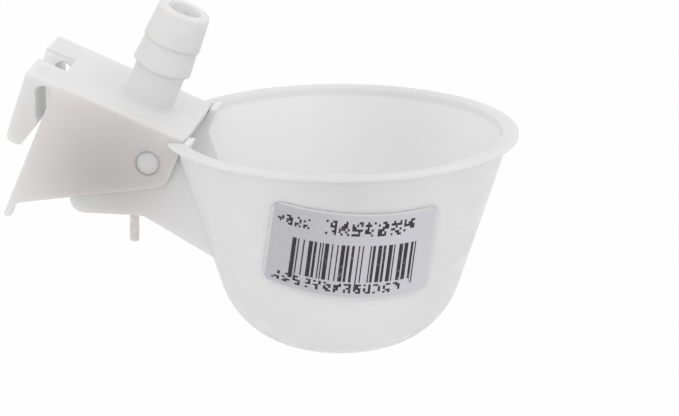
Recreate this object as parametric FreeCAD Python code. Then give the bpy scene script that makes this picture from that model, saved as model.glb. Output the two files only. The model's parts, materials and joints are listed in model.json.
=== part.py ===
import FreeCAD
import Part
import math
import os

# A weight-operated drinking cup for cage birds. A white bracket hooks over a cage wire and takes
# the water hose on its spigot. The cup's arm swings between the bracket's flanges. A spring
# lifts the empty cup, water runs in from the nozzle under the plate, and the filled cup sinks
# until a rubber pad on the arm closes the nozzle.
#
# Frame: the origin is the middle of the cage wire in its seat under the hooks, +X points from
# the cage to the cup, +Z is up, and Y = 0 is the middle plane. Lengths are in millimetres and
# angles in degrees. The bracket and the cup are drawn about the pivot, the cup level, which is
# its lowest position. Then the cup is swung up to its stop, and all is moved to the wire.

# Cage wire, hose and pivot
wire_d = 3.0
hose_bore_d = 6.0
pivot_d = 4.0
pivot_clearance = 0.08
swing = 21.9
edge_cut = 0.25

# Bracket: plate and flanges, measured from the pivot
bracket_width = 25.0
plate_height = 6.5
plate_t = 1.2
plate_edge_r = 0.4
plate_front_r = 0.4
plate_inner_r = 0.5
bracket_back = 19.8
bracket_front = 4.4
flange_t = 1.4
flange_heel_depth = 16.3
flange_toe_depth = 2.5
flange_toe_r = 2.2
tail_t = 1.3
tail_end_r = 0.55
tail_depth = 19.2
tail_fillet = 1.0

# Bracket: hooks
hook_t = 2.6
hook_width = 8.75
hook_shoulder_r = 0.5
hook_depth = 6.4
hook_taper = 1.0
hook_end_r = 1.3
hook_nose_r = 0.8
hook_nose_l = 0.6
hook_lead_h = 2.3
hook_barb_depth = 1.1
hook_barb_h = 0.5
hook_barb_gap = 0.5
hook_barb_r = 0.25
hook_tip_gap = 1.2

# Spigot for the hose, with two barbs, and the nozzle under the plate
spigot_back = 5.2
spigot_height = 17.8
spigot_top_d = 9.2
barb_d = 10.2
barb_drop = 6.3
barb_step_d = 9.6
lower_barb_d = 10.45
lower_barb_drop = 11.0
neck_d = 8.9
neck_cut = 0.5
spigot_foot_r = 1.0
nozzle_root_d = 5.2
nozzle_tip_d = 3.8
orifice_d = 2.2
bore_cone_l = 3.0

# Cup, drawn level
cup_forward = 31.5
rim_height = 4.2
lip_d = 61.8
lip_t = 0.8
lip_overhang = 1.4
lip_root_cut = 0.3
cup_depth = 38.8
cup_taper = 18.25
cup_turn_height = 11.8
cup_corner_r = 15.9
cup_corner_share = 0.95
cup_wall = 1.2

# Arm of the cup
arm_clearance = 0.4
arm_wall = 1.2
arm_back = 14.3
arm_drop = 10.1
arm_slope = 29.0
arm_slope_back = 1.4
arm_heel_r = 2.5
arm_bend_r = 3.0
arm_edge_r = 1.0
cheek_height = 3.0
cheek_rise_l = 1.2
cheek_corner_r = 0.6
cheek_top_r = 0.3
stop_gap = 0.15
trunnion_recess = 0.1
trunnion_chamfer = 0.15

# Rubber stopper
stopper_back = 4.95
pad_d = 6.4
pad_h = 3.7
pad_edge_cut = 0.35
seal_gap = 0.1
stopper_neck_d = 2.0
stopper_hole_clearance = 0.05
bead_d = 2.9
bead_l = 1.4
bead_cut = 0.2
tail_pin_d = 1.65
tail_pin_end = 17.6

# Lift spring
spring_back = 11.0
spring_d = 4.0
spring_wire_d = 0.5
spring_turns = 5.0
spring_seat_gap = 0.1
spring_stub_d = 2.0
spring_stub_l = 1.0

# Sticker
label_turn = 15.0
label_lean = 4.7
label_width = 28.6
label_height = 17.6
label_corner_r = 2.0
label_centre_depth = 15.6
label_t = 0.15

# Places that follow from the sizes above
half_width = bracket_width / 2
arm_half = half_width - flange_t - arm_clearance
arm_width = 2 * arm_half
wire_r = wire_d / 2
plate_under = plate_height - plate_t
seat_x = -(bracket_back + wire_r)
seat_z = plate_under - wire_r
floor_z = -arm_drop + arm_wall
cup_wall_r = lip_d / 2 - lip_overhang
cup_bottom = rim_height - cup_depth
taper_rad = math.radians(cup_taper)
slope_tan = math.tan(math.radians(arm_slope))
pad_top = floor_z + pad_h
nozzle_tip = pad_top + seal_gap
clear = 1.0
wire_sides = 4

PIVOT = FreeCAD.Vector(0, 0, 0)
UP = FreeCAD.Vector(0, 0, 1)
ACROSS = FreeCAD.Vector(0, 1, 0)


def in_side(x, z):
    return FreeCAD.Vector(x, 0, z)


def in_front(y, z):
    return FreeCAD.Vector(0, y, z)


def rounded_face(corners, place):
    """Flat face from corners (a, b, size): a size rounds the corner, and a negative one cuts it off."""
    count = len(corners)
    turns = []
    for i in range(count):
        here = place(corners[i][0], corners[i][1])
        back = place(corners[i - 1][0], corners[i - 1][1]) - here
        ahead = place(corners[(i + 1) % count][0], corners[(i + 1) % count][1]) - here
        half_turn = back.getAngle(ahead) / 2
        back.normalize()
        ahead.normalize()
        radius = max(corners[i][2], 0)
        reach = radius / math.tan(half_turn) if radius else -corners[i][2]
        inward = (back + ahead).normalize() if radius else back
        to_arc = radius / math.sin(half_turn) - radius
        turns.append((here + back * reach, here + inward * to_arc, here + ahead * reach))
    edges = []
    for i in range(count):
        start, middle, end = turns[i]
        following = turns[(i + 1) % count][0]
        if corners[i][2] > 0:
            edges.append(Part.Arc(start, middle, end).toShape())
        if corners[i][2] < 0:
            edges.append(Part.LineSegment(start, end).toShape())
        if end.distanceToPoint(following) > 1e-6:
            edges.append(Part.LineSegment(end, following).toShape())
    return Part.Face(Part.Wire(edges))


def side_block(corners, width):
    """Side outline (x, z) carried across the width, centred on the middle plane."""
    block = rounded_face(corners, in_side).extrude(ACROSS * width)
    block.translate(ACROSS * (-width / 2))
    return block


def front_bar(corners, x_from, x_to):
    """Front outline (y, z) carried along X."""
    bar = rounded_face(corners, in_front).extrude(FreeCAD.Vector(x_to - x_from, 0, 0))
    bar.translate(FreeCAD.Vector(x_from, 0, 0))
    return bar


def turned(corners, x):
    """Half outline (radius, z) turned about the vertical axis at x."""
    solid = rounded_face(corners, in_side).revolve(PIVOT, UP, 360)
    solid.translate(FreeCAD.Vector(x, 0, 0))
    return solid


def box_between(low, high):
    size = high - low
    return Part.makeBox(size.x, size.y, size.z, low)


def pin_across(diameter, y_from, y_to):
    return Part.makeCylinder(diameter / 2, y_to - y_from, FreeCAD.Vector(0, y_from, 0), ACROSS)


def flange_outline():
    """Side view of plate and flange, with the tail at the lower back corner."""
    return [
        (-bracket_back, plate_height, 0),
        (-bracket_back, -tail_depth, tail_end_r),
        (-bracket_back + tail_t, -tail_depth, tail_end_r),
        (-bracket_back + tail_t, -flange_heel_depth, tail_fillet),
        (bracket_front, -flange_toe_depth, flange_toe_r),
        (bracket_front, plate_height, plate_front_r),
    ]


def channel_section():
    """Plate and both flanges seen along the bracket."""
    inner = half_width - flange_t
    low = -tail_depth - clear
    return [
        (-half_width, plate_height, plate_edge_r),
        (half_width, plate_height, plate_edge_r),
        (half_width, low, 0),
        (inner, low, 0),
        (inner, plate_under, plate_inner_r),
        (-inner, plate_under, plate_inner_r),
        (-inner, low, 0),
        (-half_width, low, 0),
    ]


def hook_outline():
    """Side view of a hook: it leaves the plate, seats the wire and ends in a barbed finger."""
    slot_back = seat_x - wire_r
    back = slot_back - hook_t
    tip = -bracket_back - hook_tip_gap
    return [
        (-bracket_back, plate_height, 0),
        (back, plate_height, hook_shoulder_r),
        (back + hook_taper, -hook_depth, hook_end_r),
        (tip - hook_nose_l, -hook_depth, hook_nose_r),
        (tip, -hook_depth + hook_lead_h, hook_barb_r),
        (-bracket_back - hook_barb_gap, -hook_barb_depth, hook_barb_r),
        (tip, -hook_barb_depth + hook_barb_h, hook_barb_r),
        (slot_back, seat_z, 0),
        (-bracket_back, seat_z, 0),
    ]


def hooks():
    """Both hooks, parted by the gap in the middle, with the plate's rounded long edges."""
    back = seat_x - wire_r - hook_t
    low = -hook_depth - clear
    pair = side_block(hook_outline(), bracket_width)
    seat = Part.makeCylinder(wire_r, bracket_width, FreeCAD.Vector(seat_x, -half_width, seat_z), ACROSS)
    gap = bracket_width - 2 * hook_width
    between = box_between(
        FreeCAD.Vector(back - clear, -gap / 2, low), FreeCAD.Vector(-bracket_back, gap / 2, plate_height + clear)
    )
    rounded = front_bar(
        [
            (-half_width, plate_height, plate_edge_r),
            (half_width, plate_height, plate_edge_r),
            (half_width, low, 0),
            (-half_width, low, 0),
        ],
        back,
        -bracket_back,
    )
    return pair.cut(seat).cut(between).common(rounded)


def spigot():
    """Hose spigot with two barbs, and the nozzle that it feeds under the plate."""
    top = plate_height + spigot_height
    barb_z = top - barb_drop
    lower_z = top - lower_barb_drop
    foot_r = neck_d / 2 + spigot_foot_r + edge_cut
    in_plate = plate_height - plate_t / 2
    return turned(
        [
            (0, top, 0),
            (spigot_top_d / 2, top, -edge_cut),
            (barb_d / 2, barb_z, 0),
            (barb_step_d / 2, barb_z, 0),
            (lower_barb_d / 2, lower_z, 0),
            (neck_d / 2, lower_z, -neck_cut),
            (neck_d / 2, plate_height, spigot_foot_r),
            (foot_r, plate_height, 0),
            (foot_r, in_plate, 0),
            (nozzle_root_d / 2, in_plate, 0),
            (nozzle_tip_d / 2, nozzle_tip, -edge_cut),
            (0, nozzle_tip, 0),
        ],
        -spigot_back,
    )


def water_way():
    """Bore of the spigot, closing in a cone to the nozzle's orifice."""
    top = plate_height + spigot_height + clear
    return turned(
        [
            (0, top, 0),
            (hose_bore_d / 2, top, 0),
            (hose_bore_d / 2, plate_height, 0),
            (orifice_d / 2, plate_height - bore_cone_l, 0),
            (orifice_d / 2, nozzle_tip - clear, 0),
            (0, nozzle_tip - clear, 0),
        ],
        -spigot_back,
    )


def spring_top():
    """Where the spring's axis meets the plate's underside when the cup is up."""
    lean = math.radians(swing)
    return -(spring_back + plate_under * math.sin(lean)) / math.cos(lean)


def bracket():
    body = side_block(flange_outline(), bracket_width)
    body = body.common(front_bar(channel_section(), -bracket_back, bracket_front))
    stub = Part.makeCylinder(
        spring_stub_d / 2, spring_stub_l + plate_t / 2, FreeCAD.Vector(spring_top(), 0, plate_under - spring_stub_l)
    )
    body = body.fuse([hooks(), spigot(), stub])
    hole = pin_across(pivot_d + 2 * pivot_clearance, -half_width - clear, half_width + clear)
    return body.cut(water_way()).cut(hole).removeSplitter()


def wall_radius(z):
    """Outside radius of the cup's wall at height z."""
    return cup_wall_r - (rim_height - z) * math.tan(taper_rad)


def corner_radius():
    """Radius of the bottom's corner, limited by the wall so that the bottom still domes under it."""
    spare = wall_radius(cup_bottom + cup_turn_height) - cup_turn_height
    widest = spare / (math.cos(taper_rad) + math.sin(taper_rad) - 1)
    highest = cup_turn_height / (1 - math.sin(taper_rad))
    return min(cup_corner_r, cup_corner_share * widest, cup_corner_share * highest)


def corner_centre():
    """Centre of the arc that joins the domed bottom and the slanted wall, in the half outline."""
    turn_z = cup_bottom + cup_turn_height
    inward = in_side(-math.cos(taper_rad), math.sin(taper_rad))
    return in_side(wall_radius(turn_z), turn_z) + inward * corner_radius()


def dome_radius(corner):
    """Radius of the domed bottom, which runs smoothly into the arc about the corner's centre."""
    rise = corner.z - cup_bottom
    return (corner.x**2 + rise**2 - corner_radius() ** 2) / (2 * (rise - corner_radius()))


def cup_form(inset, top):
    """The cup's round form, inset from its outside and cut level at the top: dome, corner and wall."""
    corner = corner_centre()
    outer_r = dome_radius(corner)
    dome = in_side(0, cup_bottom + outer_r)
    down = (corner - dome).normalize()
    out = in_side(math.cos(taper_rad), -math.sin(taper_rad))
    dome_r = outer_r - inset
    corner_r = corner_radius() - inset
    low = dome - UP * dome_r
    join = dome + down * dome_r
    start = corner + out * corner_r
    edge = in_side(wall_radius(top) - inset / math.cos(taper_rad), top)
    outline = [
        Part.Arc(low, dome + (down - UP).normalize() * dome_r, join).toShape(),
        Part.Arc(join, corner + (down + out).normalize() * corner_r, start).toShape(),
        Part.LineSegment(start, edge).toShape(),
        Part.LineSegment(edge, in_side(0, top)).toShape(),
        Part.LineSegment(in_side(0, top), low).toShape(),
    ]
    form = Part.Face(Part.Wire(outline)).revolve(PIVOT, UP, 360)
    form.translate(FreeCAD.Vector(cup_forward, 0, 0))
    return form


def lip():
    """The flat lip round the rim, with a slanted root under it."""
    under = rim_height - lip_t
    root = under - lip_root_cut
    return turned(
        [
            (0, rim_height, 0),
            (lip_d / 2, rim_height, -edge_cut),
            (lip_d / 2, under, -edge_cut),
            (wall_radius(under) + lip_root_cut, under, 0),
            (wall_radius(root), root, 0),
            (0, root, 0),
        ],
        cup_forward,
    )


def slope_at(x):
    """Height of the arm's sloping underside at x."""
    return -arm_drop - (x + arm_slope_back) * slope_tan


def arm_solid():
    """Outside of the trough-shaped arm, run on into the cup."""
    rise = cup_forward - math.sqrt(cup_wall_r**2 - arm_half**2)
    block = side_block(
        [
            (-arm_back, cheek_height, cheek_corner_r),
            (-arm_back, -arm_drop, arm_heel_r),
            (-arm_slope_back, -arm_drop, arm_bend_r),
            (cup_forward, slope_at(cup_forward), 0),
            (cup_forward, rim_height, 0),
            (rise, rim_height, cheek_top_r),
            (rise - cheek_rise_l, cheek_height, cheek_corner_r),
        ],
        arm_width,
    )
    under = [edge for edge in block.Edges if edge.CenterOfMass.z < -arm_drop + arm_heel_r and on_side(edge)]
    return block.makeFillet(arm_edge_r, under)


def on_side(edge):
    """True for an edge that lies in one of the arm's side faces."""
    box = edge.BoundBox
    return box.YLength < 1e-6 and abs(box.YMin) > arm_half - 1e-6


def arm_hollow():
    """Inside of the arm, one wall thickness in, open at the top and into the cup."""
    top = rim_height + clear
    raise_slope = arm_wall / math.cos(math.radians(arm_slope))
    return side_block(
        [
            (-arm_back + arm_wall, top, 0),
            (-arm_back + arm_wall, floor_z, arm_heel_r - arm_wall),
            (-arm_slope_back, floor_z, arm_bend_r),
            (cup_forward, slope_at(cup_forward) + raise_slope, 0),
            (cup_forward, top, 0),
        ],
        arm_width - 2 * arm_wall,
    )


def bracket_room(low_z, growth):
    """Room for the bracket when the cup is up, from low_z upwards, up to the stop at its front edge."""
    side = half_width + clear + growth
    low = FreeCAD.Vector(-bracket_back, -side, low_z - growth)
    high = FreeCAD.Vector(bracket_front + stop_gap + growth, side, plate_height + rim_height)
    room = box_between(low, high)
    room.rotate(PIVOT, ACROSS, swing)
    return room


def trunnion(side):
    """Round stub on one cheek that turns in the flange's hole."""
    root = arm_half - arm_wall / 2
    length = half_width - trunnion_recess - root
    stub = Part.makeCylinder(pivot_d / 2, length, FreeCAD.Vector(0, side * root, 0), ACROSS * side)
    rim = [edge for edge in stub.Edges if abs(edge.CenterOfMass.y) > arm_half and edge.BoundBox.YLength < 1e-6]
    return stub.makeChamfer(trunnion_chamfer, rim)


def bowl():
    stub = Part.makeCylinder(
        spring_stub_d / 2, spring_stub_l + arm_wall / 2, FreeCAD.Vector(-spring_back, 0, floor_z - arm_wall / 2)
    )
    hole = Part.makeCylinder(
        stopper_neck_d / 2 + stopper_hole_clearance, arm_wall + 2 * clear,
        FreeCAD.Vector(-stopper_back, 0, -arm_drop - clear),
    )
    room = bracket_room(0, 0)
    outside = arm_solid().fuse([cup_form(0, rim_height).cut(room), lip().cut(room)])
    inside = cup_form(cup_wall, rim_height + clear).cut(bracket_room(0, cup_wall))
    under_plate = bracket_room(plate_under - 2 * stop_gap, 0)
    shell = outside.cut([inside, arm_hollow(), under_plate, hole])
    return shell.fuse([stub, trunnion(1), trunnion(-1)]).removeSplitter()


def stopper():
    """Rubber pad on the arm's floor, with a bead under the floor and the tail that pulled it in."""
    return turned(
        [
            (0, pad_top, 0),
            (pad_d / 2, pad_top, -pad_edge_cut),
            (pad_d / 2, floor_z, 0),
            (stopper_neck_d / 2, floor_z, 0),
            (stopper_neck_d / 2, -arm_drop, 0),
            (bead_d / 2, -arm_drop, -bead_cut),
            (tail_pin_d / 2, -arm_drop - bead_l, 0),
            (tail_pin_d / 2, -tail_pin_end, -bead_cut),
            (0, -tail_pin_end, 0),
        ],
        -stopper_back,
    )


def spring():
    """Compression spring from the arm's floor up to the plate, drawn with the cup up."""
    lean = math.radians(swing)
    mean_r = (spring_d - spring_wire_d) / 2
    front = -spring_back + spring_d / 2
    plate_at_front = (plate_under - front * math.sin(lean)) / math.cos(lean)
    low = floor_z + spring_seat_gap + spring_wire_d / 2
    high = plate_at_front - spring_seat_gap - spring_wire_d / 2
    path = Part.makeHelix((high - low) / spring_turns, high - low, mean_r)
    coil = Part.Wire(path.Edges).makePipeShell([wire_section(path.Edges[0])], True, True)
    coil.translate(FreeCAD.Vector(-spring_back, 0, low))
    return coil


def wire_section(path):
    """The spring's wire where its path starts: an even polygon with the round wire's area."""
    start = path.valueAt(path.FirstParameter)
    along = path.tangentAt(path.FirstParameter)
    step = 2 * math.pi / wire_sides
    corner_r = spring_wire_d / 2 * math.sqrt(step / math.sin(step))
    out = start - UP * start.dot(UP)
    out.normalize()
    beside = along.cross(out)
    turns = [step * (i + 0.5) for i in range(wire_sides + 1)]
    return Part.makePolygon([start + (out * math.cos(a) + beside * math.sin(a)) * corner_r for a in turns])


def label():
    """Sticker wrapped on the cup: a thin skin of the cone inside a rounded rectangle."""
    top = rim_height - lip_t
    low = cup_bottom + cup_turn_height
    skin = turned(
        [
            (wall_radius(top), top, 0),
            (wall_radius(top) + label_t, top, 0),
            (wall_radius(low) + label_t, low, 0),
            (wall_radius(low), low, 0),
        ],
        0,
    )
    half_w = label_width / 2
    half_h = label_height / 2
    frame = rounded_face(
        [
            (-half_w, half_h, label_corner_r),
            (half_w, half_h, label_corner_r),
            (half_w, -half_h, label_corner_r),
            (-half_w, -half_h, label_corner_r),
        ],
        in_side,
    )
    window = frame.extrude(ACROSS * -cup_wall_r)
    window.rotate(PIVOT, ACROSS, label_lean)
    window.rotate(PIVOT, FreeCAD.Vector(1, 0, 0), cup_taper)
    centre_z = rim_height - label_centre_depth
    window.translate(FreeCAD.Vector(0, -wall_radius(centre_z) / 2, centre_z + centre_drop(centre_z)))
    patch = skin.common(window)
    patch.rotate(PIVOT, UP, label_turn)
    patch.translate(FreeCAD.Vector(cup_forward, 0, 0))
    return patch


def centre_drop(z):
    """How far the slanted window starts above its centre on the wall."""
    return wall_radius(z) / 2 * math.tan(taper_rad)


def swung_up(shape):
    """The cup's parts, swung from level up to the stop."""
    shape.rotate(PIVOT, ACROSS, -swing)
    return shape


def export(name, shape):
    """Write one piece, moved from the pivot to the wire's frame."""
    shape.translate(FreeCAD.Vector(-seat_x, 0, -seat_z))
    shape.exportStep(os.path.join("parts", name + ".step"))
    print(name, len(shape.Solids), "solid", round(shape.Volume, 2), "mm3", shape.isValid())


os.makedirs("parts", exist_ok=True)
export("bracket", bracket())
export("bowl", swung_up(bowl()))
export("stopper", swung_up(stopper()))
export("spring", swung_up(spring()))
export("label", swung_up(label()))
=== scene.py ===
"""Dresses the poultry drinking cup: milky plastics, rubber stopper, lift spring, printed sticker, studio.

Lengths are in metres in the row's frame: the origin is the wire's seat under the hooks, +X runs to the cup
and +Z is up.
"""

import json
import math

import bpy
from bpy.props import FloatProperty, FloatVectorProperty, IntProperty, PointerProperty
from mathutils import Matrix, Vector


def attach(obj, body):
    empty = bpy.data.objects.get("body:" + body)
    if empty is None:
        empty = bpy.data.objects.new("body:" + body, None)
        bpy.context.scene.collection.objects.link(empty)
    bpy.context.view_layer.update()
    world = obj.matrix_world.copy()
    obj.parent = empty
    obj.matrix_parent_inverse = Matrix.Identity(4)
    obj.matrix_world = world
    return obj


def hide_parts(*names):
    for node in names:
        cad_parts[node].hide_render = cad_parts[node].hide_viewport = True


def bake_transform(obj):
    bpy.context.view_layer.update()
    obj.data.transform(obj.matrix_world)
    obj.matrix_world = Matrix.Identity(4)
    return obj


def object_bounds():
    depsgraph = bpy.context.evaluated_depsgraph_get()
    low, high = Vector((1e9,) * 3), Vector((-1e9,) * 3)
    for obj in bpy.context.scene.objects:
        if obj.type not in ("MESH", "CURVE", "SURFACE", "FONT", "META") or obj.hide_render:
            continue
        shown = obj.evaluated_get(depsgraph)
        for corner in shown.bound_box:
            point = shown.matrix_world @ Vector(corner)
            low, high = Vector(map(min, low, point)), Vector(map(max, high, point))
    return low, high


bl_info = {
    "name": "Poultry drinking cup",
    "version": (1, 0, 0),
    "blender": (4, 5, 0),
    "location": "View3D > Sidebar > Drinking Cup",
    "description": "Finishes for a hook-on drinking cup: moulded plastics, spring, sticker and studio",
    "category": "Object",
}

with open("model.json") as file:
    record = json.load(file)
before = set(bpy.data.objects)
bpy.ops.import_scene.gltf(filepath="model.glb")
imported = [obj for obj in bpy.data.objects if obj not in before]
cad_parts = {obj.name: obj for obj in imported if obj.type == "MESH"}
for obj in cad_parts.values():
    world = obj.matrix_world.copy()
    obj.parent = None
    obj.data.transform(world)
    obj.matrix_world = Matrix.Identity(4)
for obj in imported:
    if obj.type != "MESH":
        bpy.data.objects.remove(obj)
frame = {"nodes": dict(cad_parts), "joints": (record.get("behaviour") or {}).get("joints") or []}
CAD_BOUNDS = [list(corner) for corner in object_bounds()]
PIVOT = Vector(frame["joints"][0]["pos_m"])
SWING = math.radians(frame["joints"][0]["range_deg"][1])
PRINT_AREA = "print_area"

# Moulded and wound surfaces, and the camera's sensor in millimetres
MERGE_DISTANCE = 0.000002
MOULDED_ANGLE = math.radians(28)
WIRE_ANGLE = math.radians(50)
SENSOR_WIDTH = 36

# Tones of the moulded plastic, as shares of its own colour
PALER_CLOUD = 1.03
WARMER_FLOW = (0.99, 0.975, 0.97)

# Where the painted light and shade on the plastic end
EDGE_FADE = 0.0002
WALL_FADE = (-0.35, 0.45)  # shares of the wall, inwards from its middle
TURN_FADE = 0.003  # down from the height where the wall turns
BOTTOM_FADE = (0.001, 0.009)  # inwards from the wall's cone
TROUGH_END = (-0.022, -0.02)  # ahead of the cup's axis
TROUGH_TOP = (-0.0035, -0.002)  # above the rim
RIM_UNDERSIDE = (-0.0016, -0.0009)  # above the rim
RIM_INSIDE = (0.0004, 0.001)  # inwards from the wall's cone

# The bar block, in the sticker's print area, which is 1 across and 1 up
BAR_AREA = (0.14, 0.9, 0.2, 0.63)
BAR_SEED = 0.37
BARE_SLOTS = 0.4  # share of the slots that chance leaves bare
BAR_RUN = 4  # slots, of which the last stays bare
BAR_SOFT = 0.006
BAR_MIDDLE = 0.505
GUARD_WIDTH = 0.035
GUARD_DROP = 0.06

# Rows of chance dots: the row's area, its marks, each mark's dots across and up, and the share that is inked
MARK_ROWS = (
    ((0.04, 0.24, 0.76, 0.88), 4, (3, 5), 0.55),
    ((0.32, 0.87, 0.74, 0.91), 7, (5, 6), 0.5),
    ((0.05, 0.83, 0.07, 0.18), 13, (3, 5), 0.55),
)


class PlasticSettings(bpy.types.PropertyGroup):
    """Colours and surface of the two mouldings and the stopper, with the painted light and shade of the
    mouldings.
    """

    bowl_colour: FloatVectorProperty(
        name="Bowl colour", description="Milky, nearly neutral plastic of the bowl",
        subtype="COLOR", size=3, min=0, max=1, default=(0.79, 0.79, 0.795),
    )
    bracket_colour: FloatVectorProperty(
        name="Bracket colour", description="Slightly warmer plastic of the bracket",
        subtype="COLOR", size=3, min=0, max=1, default=(0.805, 0.8, 0.8),
    )
    stopper_colour: FloatVectorProperty(
        name="Stopper colour", description="Natural silicone rubber",
        subtype="COLOR", size=3, min=0, max=1, default=(0.68, 0.655, 0.65),
    )
    dust_colour: FloatVectorProperty(
        name="Dust colour", description="Fine dust on the stopper's rubber",
        subtype="COLOR", size=3, min=0, max=1, default=(0.84, 0.82, 0.82),
    )
    speck_colour: FloatVectorProperty(
        name="Speck colour", description="Fine specks in the moulded plastic",
        subtype="COLOR", size=3, min=0, max=1, default=(0.55, 0.53, 0.5),
    )
    roughness: FloatProperty(
        name="Roughness", description="Satin surface of the mouldings", min=0, max=1, default=0.42,
    )
    glow_depth: FloatProperty(
        name="Glow depth", description="How far light wanders inside the plastic",
        subtype="DISTANCE", unit="LENGTH", min=0, default=0.002,
    )
    bowl_edge: FloatProperty(
        name="Bowl edge", description="How softly the bowl's edges turn",
        subtype="DISTANCE", unit="LENGTH", min=0, default=0.00016,
    )
    bracket_edge: FloatProperty(
        name="Bracket edge", description="How softly the bracket's edges turn",
        subtype="DISTANCE", unit="LENGTH", min=0, default=0.00045,
    )
    # Painted light: this colour makes the cup's inner faces and bottom paler, for light shining through the
    # walls
    lit_colour: FloatVectorProperty(
        name="Lit colour", description="Paler plastic of the inner faces and bottom, where light soaks in",
        subtype="COLOR", size=3, min=0, max=1, default=(0.9, 0.9, 0.905),
    )
    # Painted light: this colour makes the trough, the inside of the bracket and the spigot's bore palest,
    # lifting the shade in these recesses
    recess_light_colour: FloatVectorProperty(
        name="Deep colour", description="Palest plastic, in the trough and inside the bracket",
        subtype="COLOR", size=3, min=0, max=1, default=(0.97, 0.97, 0.97),
    )
    # Painted shade: the cup shade darkens the middle of the cup's walls, inside and out, round the cup
    # middle and as far as the cup reach
    cup_shade: FloatVectorProperty(
        name="Cup shade", description="How much calmer the middle of the cup's walls is",
        subtype="COLOR", size=3, min=0, max=1, default=(0.91, 0.91, 0.91),
    )
    cup_middle: FloatVectorProperty(
        name="Cup middle", description="Where the cup's walls are calmest",
        subtype="TRANSLATION", unit="LENGTH", size=3, default=(0.057, 0, 0.008),
    )
    cup_reach: FloatProperty(
        name="Cup reach", description="How far the calm place on the cup's walls reaches",
        subtype="DISTANCE", unit="LENGTH", min=0, default=0.021,
    )
    # Painted shade: the rim shade darkens the flat rim, whose top the light falls on most
    rim_shade: FloatVectorProperty(
        name="Rim shade", description="Calmer plastic of the flat rim",
        subtype="COLOR", size=3, min=0, max=1, default=(0.74, 0.74, 0.745),
    )
    # Painted shade: the flange shade darkens and warms the middle of the flanges' outer sides, round the
    # flange middle and as far as the flange reach, for the shade of the hollow bracket behind their thin
    # walls
    flange_shade: FloatVectorProperty(
        name="Flange shade", description="Darker, warmer plastic in the middle of the flanges",
        subtype="COLOR", size=3, min=0, max=1, default=(0.6, 0.57, 0.56),
    )
    flange_middle: FloatVectorProperty(
        name="Flange middle", description="Where the flanges look darkest",
        subtype="TRANSLATION", unit="LENGTH", size=3, default=(0.0162, 0, -0.0088),
    )
    flange_reach: FloatProperty(
        name="Flange reach", description="How far the dark place on the flanges reaches",
        subtype="DISTANCE", unit="LENGTH", min=0, default=0.023,
    )
    # Painted shade: the arm shade darkens and warms the bowl's arm, round the arm middle and as far as the
    # arm reach
    arm_shade: FloatVectorProperty(
        name="Arm shade", description="Darker, warmer plastic of the bowl's arm",
        subtype="COLOR", size=3, min=0, max=1, default=(0.68, 0.655, 0.65),
    )
    arm_middle: FloatVectorProperty(
        name="Arm middle", description="Where the arm looks darkest",
        subtype="TRANSLATION", unit="LENGTH", size=3, default=(0.019, 0, -0.011),
    )
    arm_reach: FloatProperty(
        name="Arm reach", description="How far the dark place on the arm reaches",
        subtype="DISTANCE", unit="LENGTH", min=0, default=0.015,
    )


class FormSettings(bpy.types.PropertyGroup):
    """The cup's form, which the finishes and the sticker follow."""

    cup_forward: FloatProperty(
        name="Cup forward", description="Distance from the pivot to the cup's axis",
        subtype="DISTANCE", unit="LENGTH", default=0.0315,
    )
    cup_taper: FloatProperty(
        name="Cup taper", description="Slant of the cup's wall", subtype="ANGLE", unit="ROTATION",
        default=math.radians(18.25),
    )
    rim_height: FloatProperty(
        name="Rim height", description="Height of the rim over the pivot, with the cup level",
        subtype="DISTANCE", unit="LENGTH", default=0.0042,
    )
    wall_radius: FloatProperty(
        name="Wall radius", description="Outer radius of the wall at the rim",
        subtype="DISTANCE", unit="LENGTH", default=0.0295,
    )
    wall: FloatProperty(
        name="Wall", description="Thickness of the cup's wall",
        subtype="DISTANCE", unit="LENGTH", default=0.0012,
    )
    turn_depth: FloatProperty(
        name="Turn depth", description="How far below the rim the wall turns into the bottom",
        subtype="DISTANCE", unit="LENGTH", default=0.027,
    )
    trough_half: FloatProperty(
        name="Trough half", description="Half the arm's width, to the middle of its cheeks",
        subtype="DISTANCE", unit="LENGTH", default=0.0101,
    )
    flange_half: FloatProperty(
        name="Flange half", description="Half the bracket's width, to the middle of its flanges",
        subtype="DISTANCE", unit="LENGTH", default=0.0118,
    )
    plate_middle: FloatProperty(
        name="Plate middle", description="Height of the middle of the plate's thickness",
        subtype="DISTANCE", unit="LENGTH", default=0.0021,
    )
    spigot_forward: FloatProperty(
        name="Spigot forward", description="Distance from the wire's seat to the spigot's axis",
        subtype="DISTANCE", unit="LENGTH", default=0.0161,
    )
    bore_radius: FloatProperty(
        name="Bore radius", description="Radius of the spigot's bore",
        subtype="DISTANCE", unit="LENGTH", default=0.003,
    )
    pivot_face: FloatProperty(
        name="Pivot face", description="Where the pivot stubs' chamfer starts, from the middle",
        subtype="DISTANCE", unit="LENGTH", default=0.01223,
    )
    pivot_flat: FloatProperty(
        name="Pivot flat", description="Where the pressed ends of the pivot stubs begin, from the middle",
        subtype="DISTANCE", unit="LENGTH", default=0.01238,
    )
    pivot_reach: FloatProperty(
        name="Pivot reach", description="How far from the pivot's line the ends of the pivot stubs reach",
        subtype="DISTANCE", unit="LENGTH", default=0.0024,
    )
    pivot_spread: FloatProperty(
        name="Pivot spread", description="How much wider the pressed ends of the pivot stubs are",
        default=1.036,
    )


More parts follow.
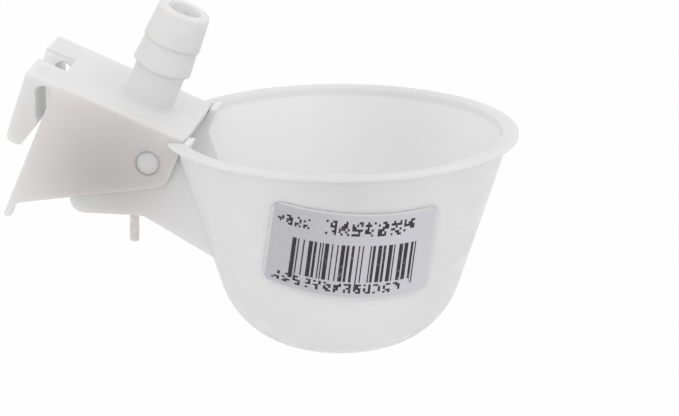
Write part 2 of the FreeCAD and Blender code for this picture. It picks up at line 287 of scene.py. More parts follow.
class StickerSettings(bpy.types.PropertyGroup):
    """Place and print of the sticker on the cup."""

    turn: FloatProperty(
        name="Turn", description="How far the sticker sits round from the cup's side",
        subtype="ANGLE", unit="ROTATION", default=math.radians(15.0),
    )
    lean: FloatProperty(
        name="Lean", description="How crooked the sticker was put on", subtype="ANGLE", unit="ROTATION",
        default=math.radians(4.7),
    )
    film_colour: FloatVectorProperty(
        name="Film colour", description="Silver-grey film", subtype="COLOR", size=3, min=0, max=1,
        default=(0.52, 0.51, 0.53),
    )
    # Painted light: the film is painted paler towards the sticker's right end
    painted_light_film_colour: FloatVectorProperty(
        name="Far colour", description="Paler film towards the sticker's right end",
        subtype="COLOR", size=3, min=0, max=1, default=(0.67, 0.66, 0.69),
    )
    grain_colour: FloatVectorProperty(
        name="Grain colour", description="Bright grain of the film",
        subtype="COLOR", size=3, min=0, max=1, default=(0.7, 0.69, 0.71),
    )
    # Paler border round the film's edges: the white of its cut edge, with a painted highlight along it
    border_colour: FloatVectorProperty(
        name="Border colour", description="Cut border of the film",
        subtype="COLOR", size=3, min=0, max=1, default=(0.74, 0.74, 0.75),
    )
    cut_edge: FloatProperty(
        name="Cut edge", description="How softly the film's edges turn",
        subtype="DISTANCE", unit="LENGTH", min=0, default=0.00005,
    )
    ink_colour: FloatVectorProperty(
        name="Ink colour", description="Black print", subtype="COLOR", size=3, min=0, max=1,
        default=(0.025, 0.022, 0.022),
    )
    bars: IntProperty(name="Bars", description="Slots in the bar block", min=10, default=95)


class SpringSettings(bpy.types.PropertyGroup):
    """Sizes and colours of the lift spring."""

    wire: FloatProperty(
        name="Wire", description="Thickness of the wire", subtype="DISTANCE", unit="LENGTH", default=0.0005,
    )
    coil: FloatProperty(
        name="Coil", description="Outer width of the coil", subtype="DISTANCE", unit="LENGTH", default=0.004,
    )
    turns: IntProperty(name="Turns", description="Open turns of the coil", min=2, default=5)
    floor_seat: FloatVectorProperty(
        name="Floor seat", description="Middle of the spring's foot on the arm's floor",
        subtype="TRANSLATION", unit="LENGTH", size=3, default=(0.01441, 0, -0.01616),
    )
    plate_seat: FloatVectorProperty(
        name="Plate seat", description="Middle of the spring's top under the plate",
        subtype="TRANSLATION", unit="LENGTH", size=3, default=(0.00731, 0, 0.0015),
    )
    steel_colour: FloatVectorProperty(
        name="Steel colour", description="Bright wire",
        subtype="COLOR", size=3, min=0, max=1, default=(0.6, 0.59, 0.57),
    )
    stain_colour: FloatVectorProperty(
        name="Stain colour", description="Film that water leaves on the wire",
        subtype="COLOR", size=3, min=0, max=1, default=(0.44, 0.4, 0.36),
    )


class StudioSettings(bpy.types.PropertyGroup):
    """Camera, floor and light."""

    view_middle: FloatVectorProperty(
        name="View middle", description="The cup's middle, which the camera is turned round",
        subtype="TRANSLATION", unit="LENGTH", size=3, default=(0.042, 0, 0),
    )
    azimuth: FloatProperty(
        name="Azimuth", description="Camera angle round the cup", subtype="ANGLE", unit="ROTATION",
        default=math.radians(3.88),
    )
    elevation: FloatProperty(
        name="Elevation", description="Camera angle above the horizon", subtype="ANGLE", unit="ROTATION",
        default=math.radians(18.66),
    )
    roll: FloatProperty(
        name="Roll", description="Camera turned about its line of sight", subtype="ANGLE", unit="ROTATION",
        default=math.radians(22.68),
    )
    distance: FloatProperty(
        name="Distance", description="Camera to cup", subtype="DISTANCE", unit="LENGTH", default=1.2,
    )
    picture_width: FloatProperty(
        name="Picture width", description="Width of the view at the cup", subtype="DISTANCE", unit="LENGTH",
        default=0.1177797,
    )
    aim_right: FloatProperty(
        name="Aim right", description="How far right of the cup's middle the camera aims",
        subtype="DISTANCE", unit="LENGTH", default=0.01056,
    )
    aim_down: FloatProperty(
        name="Aim down", description="How far below the cup's middle the camera aims",
        subtype="DISTANCE", unit="LENGTH", default=0.00595,
    )
    sky: FloatProperty(name="Sky", description="Strength of the light from all round", min=0, default=0.9)
    key_power: FloatProperty(
        name="Key power", description="Power of the large lamp over the cup", subtype="POWER", unit="POWER",
        min=0, default=0.15,
    )
    key_place: FloatVectorProperty(
        name="Key place", description="Middle of the large lamp",
        subtype="TRANSLATION", unit="LENGTH", size=3, default=(-0.15, -0.25, 0.55),
    )
    key_size: FloatProperty(
        name="Key size", description="Width of the large lamp",
        subtype="DISTANCE", unit="LENGTH", min=0, default=0.45,
    )
    lit_middle: FloatVectorProperty(
        name="Lit middle", description="What the lamp faces and the floor lies under",
        subtype="TRANSLATION", unit="LENGTH", size=3, default=(0.04, 0, 0),
    )
    floor_drop: FloatProperty(
        name="Floor drop", description="How far the floor lies under the hung cup",
        subtype="DISTANCE", unit="LENGTH", default=0.16,
    )
    floor_colour: FloatVectorProperty(
        name="Floor colour", description="Pale floor",
        subtype="COLOR", size=3, min=0, max=1, default=(0.92, 0.92, 0.92),
    )
    floor_pale: FloatVectorProperty(
        name="Floor pale", description="Paler patches of the floor",
        subtype="COLOR", size=3, min=0, max=1, default=(0.96, 0.96, 0.96),
    )
    floor_glow: FloatProperty(
        name="Floor glow", description="Share of plain white that the camera sees in the floor",
        subtype="FACTOR", min=0, max=1, default=0.93,
    )


def new_material(name):
    """An empty procedural material: its tree, its surface shader and its object coordinates."""
    material = bpy.data.materials.new(name)
    material.use_nodes = True
    tree = material.node_tree
    tree.nodes.clear()
    output = tree.nodes.new("ShaderNodeOutputMaterial")
    surface = tree.nodes.new("ShaderNodeBsdfPrincipled")
    tree.links.new(surface.outputs["BSDF"], output.inputs["Surface"])
    place = tree.nodes.new("ShaderNodeTexCoord")
    return material, tree, surface, place.outputs["Object"]


def noise(tree, place, scale, detail=3.0, distortion=0.0, stretch=(1, 1, 1)):
    """Noise value with cells about 1/scale metres wide, stretched along the axes."""
    mapping = tree.nodes.new("ShaderNodeMapping")
    mapping.inputs["Scale"].default_value = stretch
    tree.links.new(place, mapping.inputs["Vector"])
    node = tree.nodes.new("ShaderNodeTexNoise")
    node.inputs["Scale"].default_value = scale
    node.inputs["Detail"].default_value = detail
    node.inputs["Distortion"].default_value = distortion
    tree.links.new(mapping.outputs["Vector"], node.inputs["Vector"])
    return node.outputs["Fac"]


def ramp(tree, value, low, high, out_low=0.0, out_high=1.0):
    """Value stretched from low..high to out_low..out_high, smoothly and with its ends held."""
    node = tree.nodes.new("ShaderNodeMapRange")
    node.interpolation_type = "SMOOTHSTEP"
    node.inputs["From Min"].default_value = low
    node.inputs["From Max"].default_value = high
    node.inputs["To Min"].default_value = out_low
    node.inputs["To Max"].default_value = out_high
    tree.links.new(value, node.inputs["Value"])
    return node.outputs["Result"]


def fall(tree, value, low, high):
    """1 up to low and 0 from high on, with a smooth way down between them."""
    return ramp(tree, value, low, high, 1.0, 0.0)


def blend_colours(tree, share, first, second, mode="MIX"):
    """Mix of two colours, each a tuple or a socket, by a share."""
    node = tree.nodes.new("ShaderNodeMix")
    node.data_type = "RGBA"
    node.blend_type = mode
    tree.links.new(share, node.inputs[0])
    colour_sockets = [socket for socket in node.inputs if socket.type == "RGBA"]
    for socket, colour in zip(colour_sockets, (first, second)):
        if isinstance(colour, bpy.types.NodeSocket):
            tree.links.new(colour, socket)
        else:
            socket.default_value = (*colour, 1)
    return next(socket for socket in node.outputs if socket.type == "RGBA")


def sum_of(tree, operation, first, second):
    """One step of arithmetic on two values, each a number or a socket."""
    node = tree.nodes.new("ShaderNodeMath")
    node.operation = operation
    for socket, value in zip(node.inputs, (first, second)):
        if isinstance(value, (int, float)):
            socket.default_value = value
        else:
            tree.links.new(value, socket)
    return node.outputs["Value"]


def from_axis(tree, ahead, aside):
    """Distance from an upright axis, out of the distances ahead of it and beside it."""
    squared = sum_of(tree, "ADD", sum_of(tree, "POWER", ahead, 2), sum_of(tree, "POWER", aside, 2))
    return sum_of(tree, "SQRT", squared, 0)


def add_relief(tree, surface, heights, edge_radius):
    """Soft edges and fine relief: heights are (value, depth in metres) pairs."""
    soft = tree.nodes.new("ShaderNodeBevel")
    soft.samples = 4
    soft.inputs["Radius"].default_value = edge_radius
    normal = soft.outputs["Normal"]
    for value, depth in heights:
        bump = tree.nodes.new("ShaderNodeBump")
        bump.inputs["Strength"].default_value = 1.0
        bump.inputs["Distance"].default_value = depth
        tree.links.new(value, bump.inputs["Height"])
        tree.links.new(normal, bump.inputs["Normal"])
        normal = bump.outputs["Normal"]
    tree.links.new(normal, surface.inputs["Normal"])


def shaded_place(tree, place, middle, reach):
    """1 at the middle, fading to 0 at the end of its reach, seen along the pivot."""
    away = tree.nodes.new("ShaderNodeVectorMath")
    away.operation = "SUBTRACT"
    tree.links.new(place, away.inputs[0])
    away.inputs[1].default_value = middle
    flat = tree.nodes.new("ShaderNodeVectorMath")
    flat.operation = "MULTIPLY"
    tree.links.new(away.outputs["Vector"], flat.inputs[0])
    flat.inputs[1].default_value = (1, 0, 1)
    length = tree.nodes.new("ShaderNodeVectorMath")
    length.operation = "LENGTH"
    tree.links.new(flat.outputs["Vector"], length.inputs[0])
    return fall(tree, length.outputs["Value"], 0, reach)


def cup_places(tree, place, scene):
    """Masks on the bowl: painted light on the cup's inner faces and bottom and in the trough, painted shade
    on the flat rim and in the middle of the walls.
    """
    sizes = scene.cup_form
    plastic = scene.cup_plastic
    level = tree.nodes.new("ShaderNodeVectorRotate")
    level.rotation_type = "AXIS_ANGLE"
    level.inputs["Center"].default_value = PIVOT
    level.inputs["Axis"].default_value = (0, 1, 0)
    level.inputs["Angle"].default_value = SWING
    tree.links.new(place, level.inputs["Vector"])
    parts = tree.nodes.new("ShaderNodeSeparateXYZ")
    tree.links.new(level.outputs["Vector"], parts.inputs["Vector"])
    ahead = sum_of(tree, "SUBTRACT", parts.outputs["X"], PIVOT.x + sizes.cup_forward)
    aside = sum_of(tree, "ABSOLUTE", parts.outputs["Y"], 0)
    height = sum_of(tree, "SUBTRACT", parts.outputs["Z"], PIVOT.z + sizes.rim_height)
    wall = sum_of(tree, "MULTIPLY", height, math.tan(sizes.cup_taper))
    wall = sum_of(tree, "ADD", wall, sizes.wall_radius - sizes.wall / 2)
    depth = sum_of(tree, "SUBTRACT", wall, from_axis(tree, ahead, aside))
    # Painted light on the cup's inner faces, down to where the wall turns into the bottom
    inner = ramp(tree, depth, *(sizes.wall * share for share in WALL_FADE))
    upper = ramp(tree, height, -sizes.turn_depth - TURN_FADE, -sizes.turn_depth)
    inner = sum_of(tree, "MULTIPLY", inner, upper)
    # Painted light in the trough, lifting its shade
    trough = fall(tree, aside, sizes.trough_half - EDGE_FADE, sizes.trough_half)
    trough = sum_of(tree, "MULTIPLY", trough, fall(tree, ahead, *TROUGH_END))
    # Painted shade on the flat rim
    rim = ramp(tree, height, *RIM_UNDERSIDE)
    return {
        "inner": sum_of(tree, "MAXIMUM", inner, ramp(tree, depth, *BOTTOM_FADE)),
        "lit_recess": sum_of(tree, "MULTIPLY", trough, fall(tree, height, *TROUGH_TOP)),
        "rim": sum_of(tree, "MULTIPLY", rim, fall(tree, depth, *RIM_INSIDE)),
        # Painted shade in the middle of the cup's walls
        "painted_shade": shaded_place(tree, place, plastic.cup_middle, plastic.cup_reach),
    }


def bracket_places(tree, place, scene):
    """Masks on the bracket: painted light on its inner faces and in the spigot's bore, and its outer sides,
    which alone take the painted shade.
    """
    sizes = scene.cup_form
    parts = tree.nodes.new("ShaderNodeSeparateXYZ")
    tree.links.new(place, parts.inputs["Vector"])
    ahead = sum_of(tree, "SUBTRACT", parts.outputs["X"], sizes.spigot_forward)
    aside = sum_of(tree, "ABSOLUTE", parts.outputs["Y"], 0)
    # Painted light on the bracket's inner faces and in the spigot's bore, lifting their shade
    between = fall(tree, aside, sizes.flange_half - EDGE_FADE, sizes.flange_half + EDGE_FADE)
    below = fall(tree, parts.outputs["Z"], sizes.plate_middle - EDGE_FADE, sizes.plate_middle + EDGE_FADE)
    radius = from_axis(tree, ahead, aside)
    bore = fall(tree, radius, sizes.bore_radius + EDGE_FADE, sizes.bore_radius + 2 * EDGE_FADE)
    return {
        "lit_recess": sum_of(tree, "MAXIMUM", sum_of(tree, "MULTIPLY", between, below), bore),
        # The flanges' outer sides, which alone take the painted shade
        "sides": ramp(tree, aside, sizes.flange_half + EDGE_FADE, sizes.flange_half + 3 * EDGE_FADE),
    }


def milky_plastic(name, settings, colour, edge, shade, places):
    """Natural plastic as moulded: cloudy colour, faint flow lines, satin skin and light that soaks in, with
    painted light and shade in set places.
    """
    material, tree, surface, place = new_material(name)
    cloud = noise(tree, place, 60, detail=4, distortion=0.6)
    flow = noise(tree, place, 45, detail=2, distortion=1.5, stretch=(1, 1, 4))
    specks = noise(tree, place, 1400, detail=1)
    paler = tuple(min(1.0, c * PALER_CLOUD) for c in colour)
    warm = tuple(c * share for c, share in zip(colour, WARMER_FLOW))
    body = blend_colours(tree, ramp(tree, cloud, 0.35, 0.65), colour, paler)
    body = blend_colours(tree, ramp(tree, flow, 0.45, 0.62, 0, 0.35), body, warm)
    masks = places(tree, place, bpy.context.scene)
    # Painted shade round a middle point: on the flanges' outer sides of the bracket, and round the arm of
    # the bowl
    shade_colour, middle, reach = shade
    shaded = shaded_place(tree, place, middle, reach)
    if "sides" in masks:
        shaded = sum_of(tree, "MULTIPLY", shaded, masks["sides"])
    body = blend_colours(tree, shaded, body, shade_colour)
    body = blend_colours(tree, ramp(tree, specks, 0.76, 0.82, 0, 0.12), body, settings.speck_colour)
    # Painted light on the cup's inner faces and bottom and in the recesses, painted shade on the flat rim
    tones = {"inner": settings.lit_colour, "lit_recess": settings.recess_light_colour, "rim": settings.rim_shade}
    for mask, tone in tones.items():
        if mask in masks:
            body = blend_colours(tree, masks[mask], body, tone)
    # Painted shade in the middle of the cup's walls
    if "painted_shade" in masks:
        body = blend_colours(tree, masks["painted_shade"], body, settings.cup_shade, "MULTIPLY")
    tree.links.new(body, surface.inputs["Base Color"])
    scuffs = noise(tree, place, 380, detail=3, stretch=(1, 0.25, 1))
    rough = ramp(tree, scuffs, 0.3, 0.7, settings.roughness - 0.07, settings.roughness + 0.1)
    tree.links.new(rough, surface.inputs["Roughness"])
    surface.inputs["IOR"].default_value = 1.49
    surface.inputs["Specular IOR Level"].default_value = 0.4
    surface.inputs["Subsurface Weight"].default_value = 0.85
    surface.inputs["Subsurface Radius"].default_value = (1.0, 0.98, 0.95)
    surface.inputs["Subsurface Scale"].default_value = settings.glow_depth
    skin = noise(tree, place, 2600, detail=2)
    sink = noise(tree, place, 140, detail=2)
    add_relief(tree, surface, [(sink, 0.00003), (skin, 0.000006)], edge)
    return material


def silicone(name, settings):
    """Soft natural rubber with a dusty skin."""
    material, tree, surface, place = new_material(name)
    dust = noise(tree, place, 900, detail=4)
    dusty = ramp(tree, dust, 0.4, 0.7, 0, 0.5)
    body = blend_colours(tree, dusty, settings.stopper_colour, settings.dust_colour)
    tree.links.new(body, surface.inputs["Base Color"])
    tree.links.new(ramp(tree, dust, 0.3, 0.7, 0.5, 0.72), surface.inputs["Roughness"])
    surface.inputs["IOR"].default_value = 1.41
    surface.inputs["Subsurface Weight"].default_value = 0.6
    surface.inputs["Subsurface Radius"].default_value = (1.0, 0.9, 0.88)
    surface.inputs["Subsurface Scale"].default_value = 0.0012
    ribs = noise(tree, place, 1800, detail=2, stretch=(1, 1, 0.2))
    add_relief(tree, surface, [(ribs, 0.00002)], settings.bowl_edge)
    return material


def drawn_wire(name, settings):
    """Stainless wire with fine lines along its length and a faint water film."""
    material, tree, surface, place = new_material(name)
    lines = noise(tree, place, 5200, detail=3, stretch=(1, 1, 6))
    stain = ramp(tree, noise(tree, place, 420, detail=3), 0.45, 0.7, 0, 0.6)
    body = blend_colours(tree, stain, settings.steel_colour, settings.stain_colour)
    tree.links.new(body, surface.inputs["Base Color"])
    surface.inputs["Metallic"].default_value = 1.0
    tree.links.new(ramp(tree, lines, 0.3, 0.7, 0.22, 0.4), surface.inputs["Roughness"])
    bump = tree.nodes.new("ShaderNodeBump")
    bump.inputs["Distance"].default_value = 0.000008
    tree.links.new(lines, bump.inputs["Height"])
    tree.links.new(bump.outputs["Normal"], surface.inputs["Normal"])
    return material


def give(piece, material):
    """Puts one material in the piece's slot."""
    piece.data.materials.clear()
    piece.data.materials.append(material)


def start_afresh():
    """Object mode with nothing selected."""
    if bpy.context.object and bpy.context.object.mode != "OBJECT":
        bpy.ops.object.mode_set(mode="OBJECT")
    bpy.ops.object.select_all(action="DESELECT")


def pick(piece):
    """Selects one piece and makes it active."""
    start_afresh()
    piece.select_set(True)
    bpy.context.view_layer.objects.active = piece


def moulded_copy(node, name, body):
    """A merged, smooth-shaded copy of a CAD node that stands for it."""
    source = frame["nodes"][node]
    piece = bpy.data.objects.new(name, source.data.copy())
    bpy.context.scene.collection.objects.link(piece)
    pick(piece)
    bpy.ops.object.mode_set(mode="EDIT")
    bpy.ops.mesh.select_all(action="SELECT")
    bpy.ops.mesh.remove_doubles(threshold=MERGE_DISTANCE)
    bpy.ops.object.mode_set(mode="OBJECT")
    bpy.ops.mesh.customdata_custom_splitnormals_clear()
    bpy.ops.object.shade_smooth_by_angle(angle=MOULDED_ANGLE)
    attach(piece, body)
    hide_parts(node)
    return piece


def press_pivots(piece, sizes):
    """Widens the ends of the pivot stubs until they all but fill the flanges' holes."""
    pick(piece)
    bpy.ops.object.mode_set(mode="EDIT")
    bpy.ops.mesh.select_mode(type="VERT")
    bpy.ops.mesh.select_all(action="DESELECT")
    bpy.ops.object.mode_set(mode="OBJECT")
    for vertex in piece.data.vertices:
        from_pivot = math.hypot(vertex.co.x - PIVOT.x, vertex.co.z - PIVOT.z)
        vertex.select = abs(vertex.co.y) > sizes.pivot_face and from_pivot < sizes.pivot_reach
        if vertex.select:
            vertex.co.y = math.copysign(max(abs(vertex.co.y), sizes.pivot_flat), vertex.co.y)
    if not any(vertex.select for vertex in piece.data.vertices):
        raise RuntimeError("The pivot stubs weren't found")
    bpy.ops.object.mode_set(mode="EDIT")
    spread = sizes.pivot_spread
    bpy.ops.transform.resize(value=(spread, 1, spread), center_override=PIVOT)
    bpy.ops.object.mode_set(mode="OBJECT")


class DRINKINGCUP_OT_bowl(bpy.types.Operator):
    """Finishes the bowl with its trough-shaped arm"""

    bl_idname = "drinking_cup.bowl"
    bl_label = "Bowl"

    def execute(self, context):
        settings = context.scene.cup_plastic
        piece = moulded_copy("bowl", "bowl_moulding", "bowl")
        press_pivots(piece, context.scene.cup_form)
        # Painted shade round the bowl's arm
        shade = (settings.arm_shade, settings.arm_middle, settings.arm_reach)
        give(piece, milky_plastic(
            "Milky bowl plastic", settings, settings.bowl_colour, settings.bowl_edge, shade, cup_places,
        ))
        return {"FINISHED"}


class DRINKINGCUP_OT_bracket(bpy.types.Operator):
    """Finishes the bracket with its hooks and hose spigot"""

    bl_idname = "drinking_cup.bracket"
    bl_label = "Bracket"

    def execute(self, context):
        settings = context.scene.cup_plastic
        piece = moulded_copy("bracket", "bracket_moulding", "bracket")
        # Painted shade in the middle of the flanges
        shade = (settings.flange_shade, settings.flange_middle, settings.flange_reach)
        give(piece, milky_plastic(
            "White bracket plastic", settings, settings.bracket_colour, settings.bracket_edge, shade,
            bracket_places,
        ))
        return {"FINISHED"}


class DRINKINGCUP_OT_stopper(bpy.types.Operator):
    """Finishes the rubber stopper and its pull-through tail"""

    bl_idname = "drinking_cup.stopper"
    bl_label = "Stopper"

    def execute(self, context):
        piece = moulded_copy("stopper", "valve_stopper", "bowl")
        give(piece, silicone("Stopper silicone", context.scene.cup_plastic))
        return {"FINISHED"}


def spring_axis(foot, top, inset):
    """The spring's bent axis: it leaves the arm's floor squarely and meets the plate squarely."""
    off_floor = Vector((-math.sin(SWING), 0, math.cos(SWING)))
    off_plate = Vector((0, 0, -1))
    start = foot + off_floor * inset
    end = top + off_plate * inset
    pull = (end - start).length / 3
    return (start, start + off_floor * pull, end + off_plate * pull, end)


def on_axis(route, share):
    """Point and direction of the bent axis at a share of its length."""
    a, b, c, d = route
    rest = 1 - share
    point = a * rest**3 + b * 3 * rest**2 * share + c * 3 * rest * share**2 + d * share**3
    along = (b - a) * rest**2 + (c - b) * 2 * rest * share + (d - c) * share**2
    return point, along.normalized()


def coil_points(route, radius, settings):
    """Middle line of the wire: closed end turns, then open ones, wound round the bent axis."""
    steps_per_turn = 20
    closed = 1.0
    stretches = 40
    stations = [on_axis(route, i / stretches)[0] for i in range(stretches + 1)]
    length = sum((after - before).length for before, after in zip(stations, stations[1:]))
    closed_rise = settings.wire * closed
    open_rise = length - 2 * closed_rise
    across = Vector((0, 1, 0))
    points = []
    for i in range(int((settings.turns + 2 * closed) * steps_per_turn) + 1):
        turn = i / steps_per_turn
        rise = closed_rise * min(turn / closed, 1)
        rise += open_rise * min(max((turn - closed) / settings.turns, 0), 1)
        rise += closed_rise * max(turn - closed - settings.turns, 0) / closed
        middle, along = on_axis(route, rise / length)
        beside = across.cross(along)
        angle = 2 * math.pi * turn
        points.append(middle + (beside * math.cos(angle) + across * math.sin(angle)) * radius)
    return points


def wound_wire(name, points, radius):
    """Round wire along the points, with capped ends, as one mesh."""
    start_afresh()
    bpy.ops.curve.primitive_nurbs_path_add(location=(0, 0, 0))
    wire = bpy.context.object
    wire.name = name
    path = wire.data
    path.splines.clear()
    line = path.splines.new("POLY")
    line.points.add(len(points) - 1)
    for knot, point in zip(line.points, points):
        knot.co = (*point, 1)
    path.bevel_depth = radius
    path.bevel_resolution = 2
    path.use_fill_caps = True
    bpy.ops.object.convert(target="MESH")
    bpy.ops.object.shade_smooth_by_angle(angle=WIRE_ANGLE)
    return bpy.context.object


class DRINKINGCUP_OT_spring(bpy.types.Operator):
    """Winds the lift spring square to both of its seats"""

    bl_idname = "drinking_cup.spring"
    bl_label = "Lift spring"

    def execute(self, context):
        settings = context.scene.cup_spring
        foot = Vector(settings.floor_seat)
        top = Vector(settings.plate_seat)
        route = spring_axis(foot, top, settings.wire / 2)
        points = coil_points(route, (settings.coil - settings.wire) / 2, settings)
        coil = wound_wire("lift_spring", points, settings.wire / 2)
        give(coil, drawn_wire("Spring wire", settings))
        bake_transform(coil)
        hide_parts("spring")
        return {"FINISHED"}


def spread_print(piece, sizes, settings):
    """Gives the sticker its own flat print area: 0 to 1 across, and 0 to 1 up."""
    unroll = Matrix.Rotation(-settings.lean, 3, "Y") @ Matrix.Rotation(-sizes.cup_taper, 3, "X")
    unroll = unroll @ Matrix.Rotation(-settings.turn, 3, "Z") @ Matrix.Rotation(SWING, 3, "Y")
    flat = [unroll @ vertex.co for vertex in piece.data.vertices]
    left, right = min(p.x for p in flat), max(p.x for p in flat)
    low, high = min(p.z for p in flat), max(p.z for p in flat)
    layer = piece.data.uv_layers.new(name=PRINT_AREA)
    for loop in piece.data.loops:
        point = flat[loop.vertex_index]
        layer.data[loop.index].uv = ((point.x - left) / (right - left), (point.z - low) / (high - low))


def within(tree, value, low, high, soft=0.0025):
    """1 where the value lies between low and high, with soft ends."""
    start = ramp(tree, value, low - soft, low + soft)
    return sum_of(tree, "MULTIPLY", start, fall(tree, value, high - soft, high + soft))


def marks(tree, across, up, edges, count, grid, fill):
    """A row of equal cells, each a small grid of chance dots that means nothing, as a mask."""
    left, right, low, high = edges
    columns, rows = grid
    share = sum_of(tree, "DIVIDE", sum_of(tree, "SUBTRACT", across, left), (right - left) / count)
    height = sum_of(tree, "DIVIDE", sum_of(tree, "SUBTRACT", up, low), (high - low) / rows)
    inner = sum_of(tree, "MULTIPLY", sum_of(tree, "FRACT", share, 0), columns + 1)
    dot = tree.nodes.new("ShaderNodeCombineXYZ")
    tree.links.new(sum_of(tree, "FLOOR", share, 0), dot.inputs["X"])
    tree.links.new(sum_of(tree, "FLOOR", inner, 0), dot.inputs["Y"])
    tree.links.new(sum_of(tree, "FLOOR", height, 0), dot.inputs["Z"])
    chance = tree.nodes.new("ShaderNodeTexWhiteNoise")
    chance.noise_dimensions = "4D"
    tree.links.new(dot.outputs["Vector"], chance.inputs["Vector"])
    chance.inputs["W"].default_value = left
    inked = sum_of(tree, "GREATER_THAN", chance.outputs["Value"], 1 - fill)
    row = sum_of(tree, "MULTIPLY", within(tree, across, left, right), within(tree, up, low, high))
    cell = sum_of(tree, "LESS_THAN", inner, columns)
    return sum_of(tree, "MULTIPLY", sum_of(tree, "MULTIPLY", row, cell), inked)


def bar_block(tree, across, up, count):
    """Bars of chance widths, a little longer at both ends and in the middle."""
    left, right, low, high = BAR_AREA
    share = sum_of(tree, "DIVIDE", sum_of(tree, "SUBTRACT", across, left), (right - left) / count)
    number = sum_of(tree, "FLOOR", share, 0)
    chance = tree.nodes.new("ShaderNodeTexWhiteNoise")
    chance.noise_dimensions = "1D"
    tree.links.new(sum_of(tree, "ADD", number, BAR_SEED), chance.inputs["W"])
    inked = sum_of(tree, "GREATER_THAN", chance.outputs["Value"], BARE_SLOTS)
    spaced = sum_of(tree, "LESS_THAN", sum_of(tree, "MODULO", number, BAR_RUN), BAR_RUN - 1.5)
    inked = sum_of(tree, "MULTIPLY", inked, spaced)
    block = within(tree, across, left, right)
    short = sum_of(tree, "MULTIPLY", block, within(tree, up, low, high, BAR_SOFT))
    longer = within(tree, across, BAR_MIDDLE, BAR_MIDDLE + GUARD_WIDTH)
    for start in (left, right - GUARD_WIDTH):
        longer = sum_of(tree, "ADD", longer, within(tree, across, start, start + GUARD_WIDTH))
    tall = sum_of(tree, "MULTIPLY", longer, within(tree, up, low - GUARD_DROP, high, BAR_SOFT))
    return sum_of(tree, "MULTIPLY", inked, sum_of(tree, "MAXIMUM", short, tall))


def printed_film(name, settings):
    """Silver-grey film with black print: a bar block, with rows of chance dots over and under it."""
    material, tree, surface, place = new_material(name)
    area = tree.nodes.new("ShaderNodeUVMap")
    area.uv_map = PRINT_AREA
    parts = tree.nodes.new("ShaderNodeSeparateXYZ")
    tree.links.new(area.outputs["UV"], parts.inputs["Vector"])
    across, up = parts.outputs["X"], parts.outputs["Y"]
    grain = noise(tree, place, 2200, detail=2)
    wrinkle = noise(tree, place, 260, detail=3, distortion=1.0)
    # Painted light: the film grows paler towards its right end
    film = blend_colours(tree, ramp(tree, across, 0.05, 0.95), settings.film_colour, settings.painted_light_film_colour)
    film = blend_colours(tree, ramp(tree, grain, 0.35, 0.65, 0, 0.25), film, settings.grain_colour)
    # Paler border round the film's edges: the white of its cut edge, with a painted highlight along it
    inside = within(tree, across, 0.012, 0.988, 0.008)
    inside = sum_of(tree, "MULTIPLY", inside, within(tree, up, 0.02, 0.98, 0.014))
    film = blend_colours(tree, inside, settings.border_colour, film)
    ink = bar_block(tree, across, up, settings.bars)
    for edges, count, grid, fill in MARK_ROWS:
        ink = sum_of(tree, "MAXIMUM", ink, marks(tree, across, up, edges, count, grid, fill))
    smudge = noise(tree, place, 1500, detail=3)
    ink = sum_of(tree, "MULTIPLY", ink, ramp(tree, smudge, 0.3, 0.42, 0.72, 1.0))
    tree.links.new(blend_colours(tree, ink, film, settings.ink_colour), surface.inputs["Base Color"])
    tree.links.new(ramp(tree, ink, 0, 1, 0.38, 0.55), surface.inputs["Roughness"])
    add_relief(tree, surface, [(wrinkle, 0.00004), (grain, 0.000004)], settings.cut_edge)
    return material


class DRINKINGCUP_OT_sticker(bpy.types.Operator):
    """Lays the printed sticker on the cup's wall"""

    bl_idname = "drinking_cup.sticker"
    bl_label = "Sticker"

    def execute(self, context):
        settings = context.scene.cup_sticker
        piece = moulded_copy("label", "cup_sticker", "bowl")
        spread_print(piece, context.scene.cup_form, settings)
        give(piece, printed_film("Printed film", settings))
        return {"FINISHED"}


def camera_axes(settings):
    """The camera's right, up and back directions."""
    a, e, r = settings.azimuth, settings.elevation, settings.roll
    back = Vector((math.sin(a) * math.cos(e), -math.cos(a) * math.cos(e), math.sin(e)))
    right = Vector((math.cos(a), math.sin(a), 0))
    up = back.cross(right)
    return right * math.cos(r) + up * math.sin(r), up * math.cos(r) - right * math.sin(r), back


def set_camera(scene, settings):
    """Camera at the photograph's view."""
    right, up, back = camera_axes(settings)
    middle = Vector(settings.view_middle)
    place = middle + back * settings.distance
    aim = middle + right * settings.aim_right - up * settings.aim_down
    back = (place - aim).normalized()
    right = (right - back * right.dot(back)).normalized()
    camera = bpy.data.objects.new("studio_camera", bpy.data.cameras.new("studio_camera"))
    scene.collection.objects.link(camera)
    turn = Matrix((right, back.cross(right), back)).transposed()
    camera.matrix_world = Matrix.Translation(place) @ turn.to_4x4()
    camera.data.sensor_width = SENSOR_WIDTH
    camera.data.lens = SENSOR_WIDTH * settings.distance / settings.picture_width
    camera.data.clip_start = 0.05
    camera.data.clip_end = 20
    scene.camera = camera


def seen_rays(tree):
    """1 for the rays that come from the camera, a reflection or something see-through."""
    path = tree.nodes.new("ShaderNodeLightPath")
    seen = sum_of(tree, "MAXIMUM", path.outputs["Is Camera Ray"], path.outputs["Is Glossy Ray"])
    return sum_of(tree, "MAXIMUM", seen, path.outputs["Is Transmission Ray"])


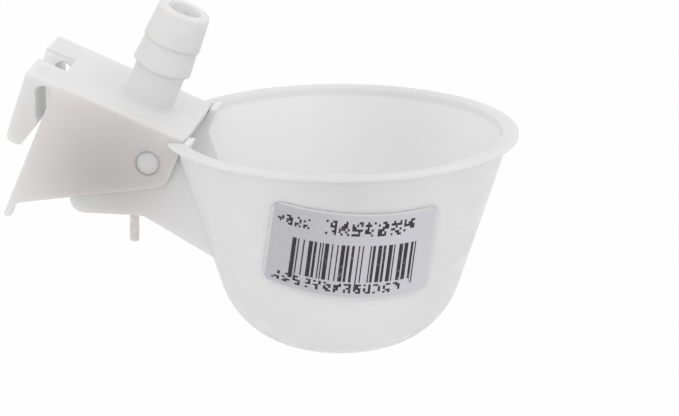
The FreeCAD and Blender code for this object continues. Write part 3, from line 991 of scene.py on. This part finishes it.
def set_floor(settings):
    """Pale floor well under the hung cup, with a white glow that only the seen rays meet."""
    start_afresh()
    x, y, _ = settings.lit_middle
    height = CAD_BOUNDS[0][2] - settings.floor_drop
    bpy.ops.mesh.primitive_plane_add(size=6, location=(x, y, height))
    floor = bpy.context.object
    floor.name = "studio_floor"
    material, tree, surface, place = new_material("Pale floor")
    grain = noise(tree, place, 30, detail=3)
    body = blend_colours(tree, grain, settings.floor_colour, settings.floor_pale)
    tree.links.new(body, surface.inputs["Base Color"])
    surface.inputs["Roughness"].default_value = 0.8
    glow = tree.nodes.new("ShaderNodeEmission")
    glow.inputs["Strength"].default_value = 1.0
    mix = tree.nodes.new("ShaderNodeMixShader")
    tree.links.new(sum_of(tree, "MULTIPLY", seen_rays(tree), settings.floor_glow), mix.inputs["Fac"])
    tree.links.new(surface.outputs["BSDF"], mix.inputs[1])
    tree.links.new(glow.outputs["Emission"], mix.inputs[2])
    output = next(node for node in tree.nodes if node.type == "OUTPUT_MATERIAL")
    tree.links.new(mix.outputs["Shader"], output.inputs["Surface"])
    give(floor, material)


def set_sky(scene, settings):
    """Even light from all round, and white where the camera looks past the cup."""
    world = bpy.data.worlds.new("Studio sky")
    world.use_nodes = True
    tree = world.node_tree
    tree.nodes.clear()
    output = tree.nodes.new("ShaderNodeOutputWorld")
    mix = tree.nodes.new("ShaderNodeMixShader")
    tree.links.new(seen_rays(tree), mix.inputs["Fac"])
    for socket, strength in ((mix.inputs[1], settings.sky), (mix.inputs[2], 1.0)):
        light = tree.nodes.new("ShaderNodeBackground")
        light.inputs["Color"].default_value = (1, 1, 1, 1)
        light.inputs["Strength"].default_value = strength
        tree.links.new(light.outputs["Background"], socket)
    tree.links.new(mix.outputs["Shader"], output.inputs["Surface"])
    scene.world = world


def add_lamp(scene, name, settings):
    """A soft square lamp that faces the cup."""
    lamp = bpy.data.objects.new(name, bpy.data.lights.new(name, "AREA"))
    lamp.data.shape = "SQUARE"
    lamp.data.size = settings.key_size
    lamp.data.energy = settings.key_power
    lamp.location = settings.key_place
    lamp.rotation_mode = "QUATERNION"
    away = Vector(settings.key_place) - Vector(settings.lit_middle)
    lamp.rotation_quaternion = away.to_track_quat("Z", "Y")
    scene.collection.objects.link(lamp)


class DRINKINGCUP_OT_studio(bpy.types.Operator):
    """Sets the pale floor, the soft light and the camera"""

    bl_idname = "drinking_cup.studio"
    bl_label = "Studio"

    def execute(self, context):
        scene = context.scene
        settings = scene.cup_studio
        scene.view_settings.view_transform = "Standard"
        set_camera(scene, settings)
        set_floor(settings)
        set_sky(scene, settings)
        add_lamp(scene, "key_lamp", settings)
        return {"FINISHED"}


class DRINKINGCUP_PT_panel(bpy.types.Panel):
    """Lists the cup's pieces and their settings"""

    bl_idname = "DRINKINGCUP_PT_panel"
    bl_label = "Drinking Cup"
    bl_space_type = "VIEW_3D"
    bl_region_type = "UI"
    bl_category = "Drinking Cup"

    def draw(self, context):
        scene = context.scene
        for setting in SETTINGS:
            group = getattr(scene, setting)
            box = self.layout.box()
            for name in group.__annotations__:
                box.prop(group, name)
        for operator in OPERATORS:
            self.layout.operator(operator.bl_idname)


OPERATORS = (
    DRINKINGCUP_OT_bowl,
    DRINKINGCUP_OT_bracket,
    DRINKINGCUP_OT_stopper,
    DRINKINGCUP_OT_spring,
    DRINKINGCUP_OT_sticker,
    DRINKINGCUP_OT_studio,
)
SETTINGS = {
    "cup_form": FormSettings,
    "cup_plastic": PlasticSettings,
    "cup_sticker": StickerSettings,
    "cup_spring": SpringSettings,
    "cup_studio": StudioSettings,
}


def register():
    for group in SETTINGS.values():
        bpy.utils.register_class(group)
    for name, group in SETTINGS.items():
        setattr(bpy.types.Scene, name, PointerProperty(type=group))
    for operator in OPERATORS:
        bpy.utils.register_class(operator)
    bpy.utils.register_class(DRINKINGCUP_PT_panel)


def unregister():
    bpy.utils.unregister_class(DRINKINGCUP_PT_panel)
    for operator in reversed(OPERATORS):
        bpy.utils.unregister_class(operator)
    for name, group in SETTINGS.items():
        delattr(bpy.types.Scene, name)
        bpy.utils.unregister_class(group)


def main():
    register()
    bpy.ops.drinking_cup.bowl()
    bpy.ops.drinking_cup.bracket()
    bpy.ops.drinking_cup.stopper()
    bpy.ops.drinking_cup.spring()
    bpy.ops.drinking_cup.sticker()
    bpy.ops.drinking_cup.studio()
    start_afresh()


if __name__ == "__main__":
    main()
